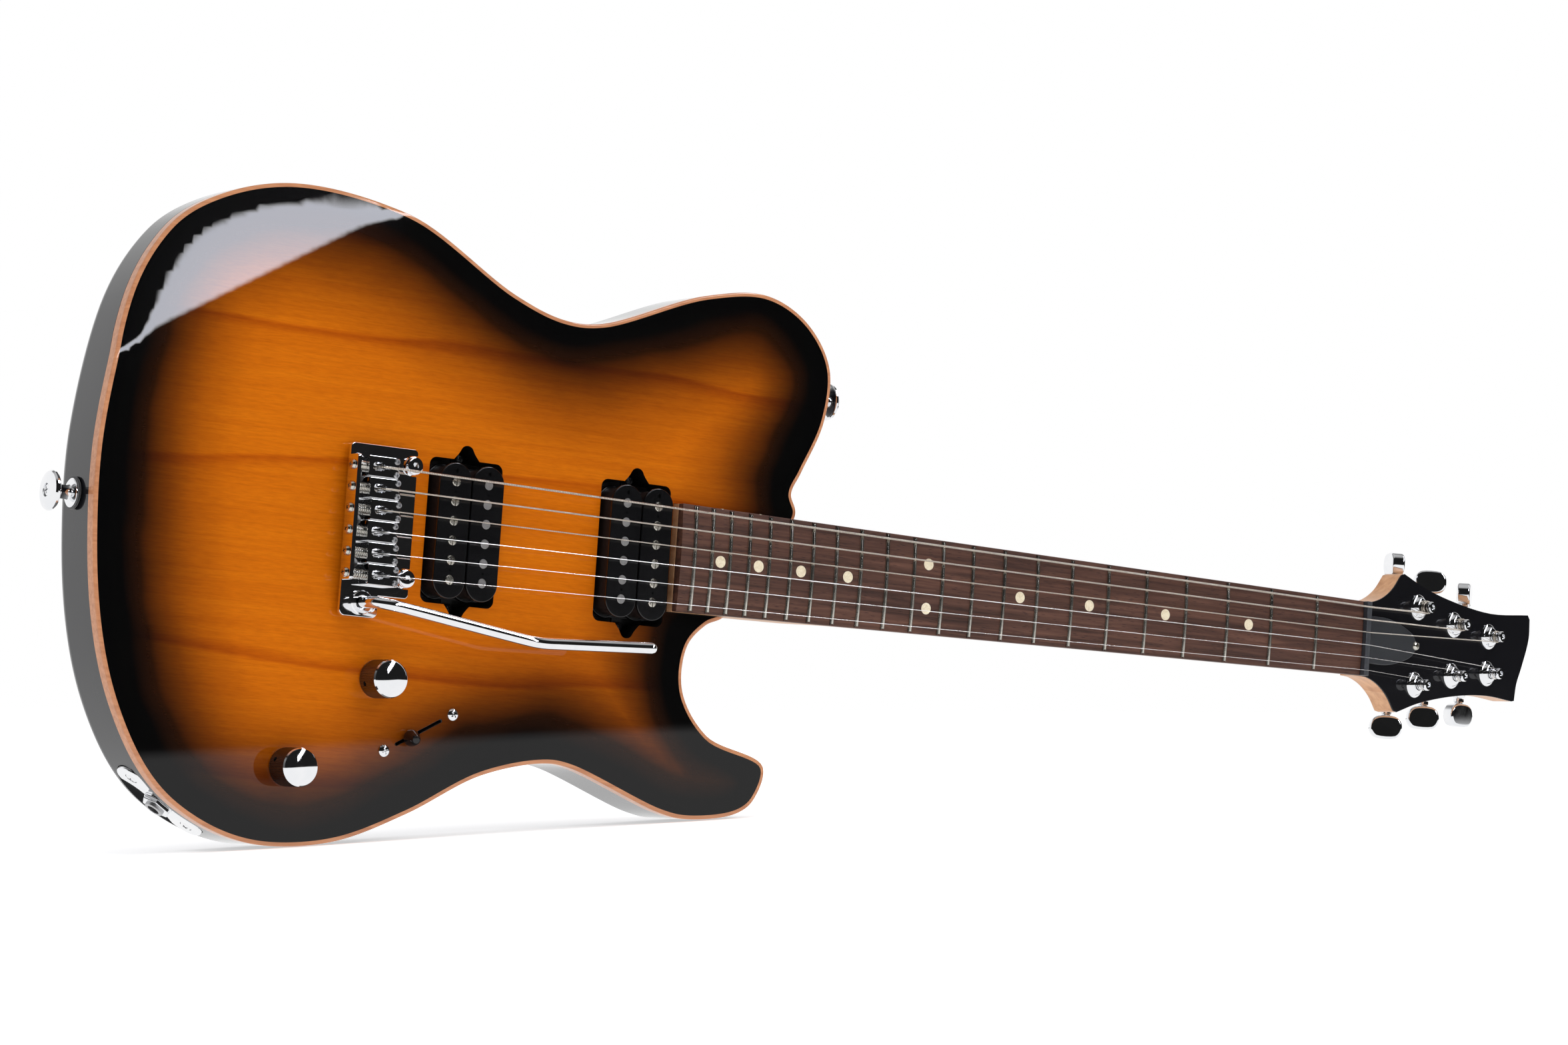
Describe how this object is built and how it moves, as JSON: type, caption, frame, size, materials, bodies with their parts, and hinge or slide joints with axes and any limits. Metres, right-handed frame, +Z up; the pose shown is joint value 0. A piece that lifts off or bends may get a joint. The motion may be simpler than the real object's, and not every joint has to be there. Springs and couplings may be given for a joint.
{
  "type": "electric guitar",
  "caption": "Solid-body electric guitar on its edge: sunburst cap with natural edge band, tilted headstock, pivoting tremolo bridge with arm, open-coil pickups, knobs and blade switch.",
  "frame": {"origin": "centre of the guitar's outer box in plan, at floor level, with the guitar on its edge", "axes": "+X towards the headstock, -Y out of the guitar's face, +Z up towards the bass side; the neck dips 6.9 degrees towards +X"},
  "size_m": [0.9814, 0.0922, 0.3299],
  "materials": {
    "burst_cap": "clear gloss over amber, shading to black at the edge, with a natural edge band",
    "black_body": "black gloss lacquer",
    "neck_wood": "natural satin",
    "fingerboard_wood": "oiled dark wood",
    "nut_graphite": "satin",
    "chrome": "polished",
    "steel": "plain",
    "cover_plastic": "satin",
    "pickup_plastic": "moulded",
    "string_steel": "wound nickel and plain steel"
  },
  "bodies": {
    "guitar": {"body_top": "burst_cap", "body_back": "black_body", "neck": "neck_wood", "fingerboard": "fingerboard_wood", "nut": "nut_graphite", "truss_rod": "steel", "truss_rod_cover": "cover_plastic", "neck_plate": "chrome", "tuner_housing_1": "chrome", "string_1": "string_steel", "tuner_housing_2": "chrome", "string_2": "string_steel", "tuner_housing_3": "chrome", "string_3": "string_steel", "tuner_housing_4": "chrome", "string_4": "string_steel", "tuner_housing_5": "chrome", "string_5": "string_steel", "tuner_housing_6": "chrome", "string_6": "string_steel", "pivot_stud_bass": "chrome", "pivot_stud_treble": "chrome", "tremolo_spring_1": "steel", "tremolo_spring_2": "steel", "spring_claw": "steel", "spring_cover": "cover_plastic", "control_cover": "cover_plastic", "pickup_neck": "pickup_plastic", "pickup_bridge": "pickup_plastic", "volume_potentiometer": "steel", "tone_potentiometer": "steel", "switch_body": "pickup_plastic", "jack_plate": "chrome", "output_jack": "steel", "strap_button_end": "chrome", "strap_button_horn": "chrome"},
    "bridge": {"bridge_plate": "chrome", "sustain_block": "steel", "saddle_1": "chrome", "saddle_2": "chrome", "saddle_3": "chrome", "saddle_4": "chrome", "saddle_5": "chrome", "saddle_6": "chrome"},
    "tremolo_arm": {"tremolo_arm": "chrome"},
    "volume_knob": {"volume_knob": "chrome"},
    "tone_knob": {"tone_knob": "chrome"},
    "switch_lever": {"switch_lever": "pickup_plastic"},
    "button_1": {"tuner_button_1": "chrome"},
    "post_1": {"tuner_post_1": "chrome"},
    "button_2": {"tuner_button_2": "chrome"},
    "post_2": {"tuner_post_2": "chrome"},
    "button_3": {"tuner_button_3": "chrome"},
    "post_3": {"tuner_post_3": "chrome"},
    "button_4": {"tuner_button_4": "chrome"},
    "post_4": {"tuner_post_4": "chrome"},
    "button_5": {"tuner_button_5": "chrome"},
    "post_5": {"tuner_post_5": "chrome"},
    "button_6": {"tuner_button_6": "chrome"},
    "post_6": {"tuner_post_6": "chrome"}
  },
  "joints": [
    {"name": "tremolo_pivot", "type": "hinge", "parent": "guitar", "child": "bridge", "pos_m": [-0.30696, -0.0034, 0.15929], "axis": [0.1201, 0, 0.9928], "range_deg": [-3, 10], "stiffness_Nm_per_rad": 60, "deforming": ["string_1", "string_2", "string_3", "string_4", "string_5", "string_6", "tremolo_spring_1", "tremolo_spring_2"]},
    {"name": "arm_swing", "type": "hinge", "parent": "bridge", "child": "tremolo_arm", "pos_m": [-0.33292, -0.0092, 0.11962], "axis": [0, -1, 0], "range_deg": [-160, 4]},
    {"name": "volume_turn", "type": "hinge", "parent": "guitar", "child": "volume_knob", "pos_m": [-0.32247, -0.0092, 0.08109], "axis": [0, -1, 0], "range_deg": [-150, 150]},
    {"name": "tone_turn", "type": "hinge", "parent": "guitar", "child": "tone_knob", "pos_m": [-0.37483, -0.0092, 0.03958], "axis": [0, -1, 0], "range_deg": [-150, 150]},
    {"name": "switch_swing", "type": "hinge", "parent": "guitar", "child": "switch_lever", "pos_m": [-0.29864, 0.0208, 0.05323], "axis": [-0.3762, 0, 0.9265], "range_deg": [0, 31]},
    {"name": "button_turn_6", "type": "hinge", "parent": "guitar", "child": "button_6", "pos_m": [0.37944, 0.02288, 0.09799], "axis": [0.1201, 0, 0.9928], "continuous": true},
    {"name": "button_turn_5", "type": "hinge", "parent": "guitar", "child": "button_5", "pos_m": [0.4128, 0.02896, 0.0868], "axis": [0.1201, 0, 0.9928], "continuous": true},
    {"name": "button_turn_4", "type": "hinge", "parent": "guitar", "child": "button_4", "pos_m": [0.44605, 0.03495, 0.07874], "axis": [0.1201, 0, 0.9928], "continuous": true},
    {"name": "button_turn_3", "type": "hinge", "parent": "guitar", "child": "button_3", "pos_m": [0.4434, 0.03495, 0.0568], "axis": [-0.1201, 0, -0.9928], "continuous": true},
    {"name": "button_turn_2", "type": "hinge", "parent": "guitar", "child": "button_2", "pos_m": [0.40915, 0.02896, 0.05662], "axis": [-0.1201, 0, -0.9928], "continuous": true},
    {"name": "button_turn_1", "type": "hinge", "parent": "guitar", "child": "button_1", "pos_m": [0.37395, 0.02288, 0.05262], "axis": [-0.1201, 0, -0.9928], "continuous": true},
    {"name": "post_turn_6", "type": "hinge", "parent": "guitar", "child": "post_6", "pos_m": [0.3828, 0.00368, 0.09758], "axis": [0.1724, -0.9848, -0.0209], "continuous": true},
    {"name": "post_turn_5", "type": "hinge", "parent": "guitar", "child": "post_5", "pos_m": [0.41617, 0.00976, 0.08639], "axis": [0.1724, -0.9848, -0.0209], "continuous": true},
    {"name": "post_turn_4", "type": "hinge", "parent": "guitar", "child": "post_4", "pos_m": [0.44941, 0.01575, 0.07834], "axis": [0.1724, -0.9848, -0.0209], "continuous": true},
    {"name": "post_turn_3", "type": "hinge", "parent": "guitar", "child": "post_3", "pos_m": [0.44676, 0.01575, 0.0564], "axis": [0.1724, -0.9848, -0.0209], "continuous": true},
    {"name": "post_turn_2", "type": "hinge", "parent": "guitar", "child": "post_2", "pos_m": [0.41251, 0.00976, 0.05621], "axis": [0.1724, -0.9848, -0.0209], "continuous": true},
    {"name": "post_turn_1", "type": "hinge", "parent": "guitar", "child": "post_1", "pos_m": [0.37731, 0.00368, 0.05221], "axis": [0.1724, -0.9848, -0.0209], "continuous": true}
  ],
  "couplings": [
    {"joint": "post_turn_1", "follows": "button_turn_1", "ratio": 0.066667},
    {"joint": "post_turn_2", "follows": "button_turn_2", "ratio": 0.066667},
    {"joint": "post_turn_3", "follows": "button_turn_3", "ratio": 0.066667},
    {"joint": "post_turn_4", "follows": "button_turn_4", "ratio": 0.066667},
    {"joint": "post_turn_5", "follows": "button_turn_5", "ratio": 0.066667},
    {"joint": "post_turn_6", "follows": "button_turn_6", "ratio": 0.066667}
  ]
}
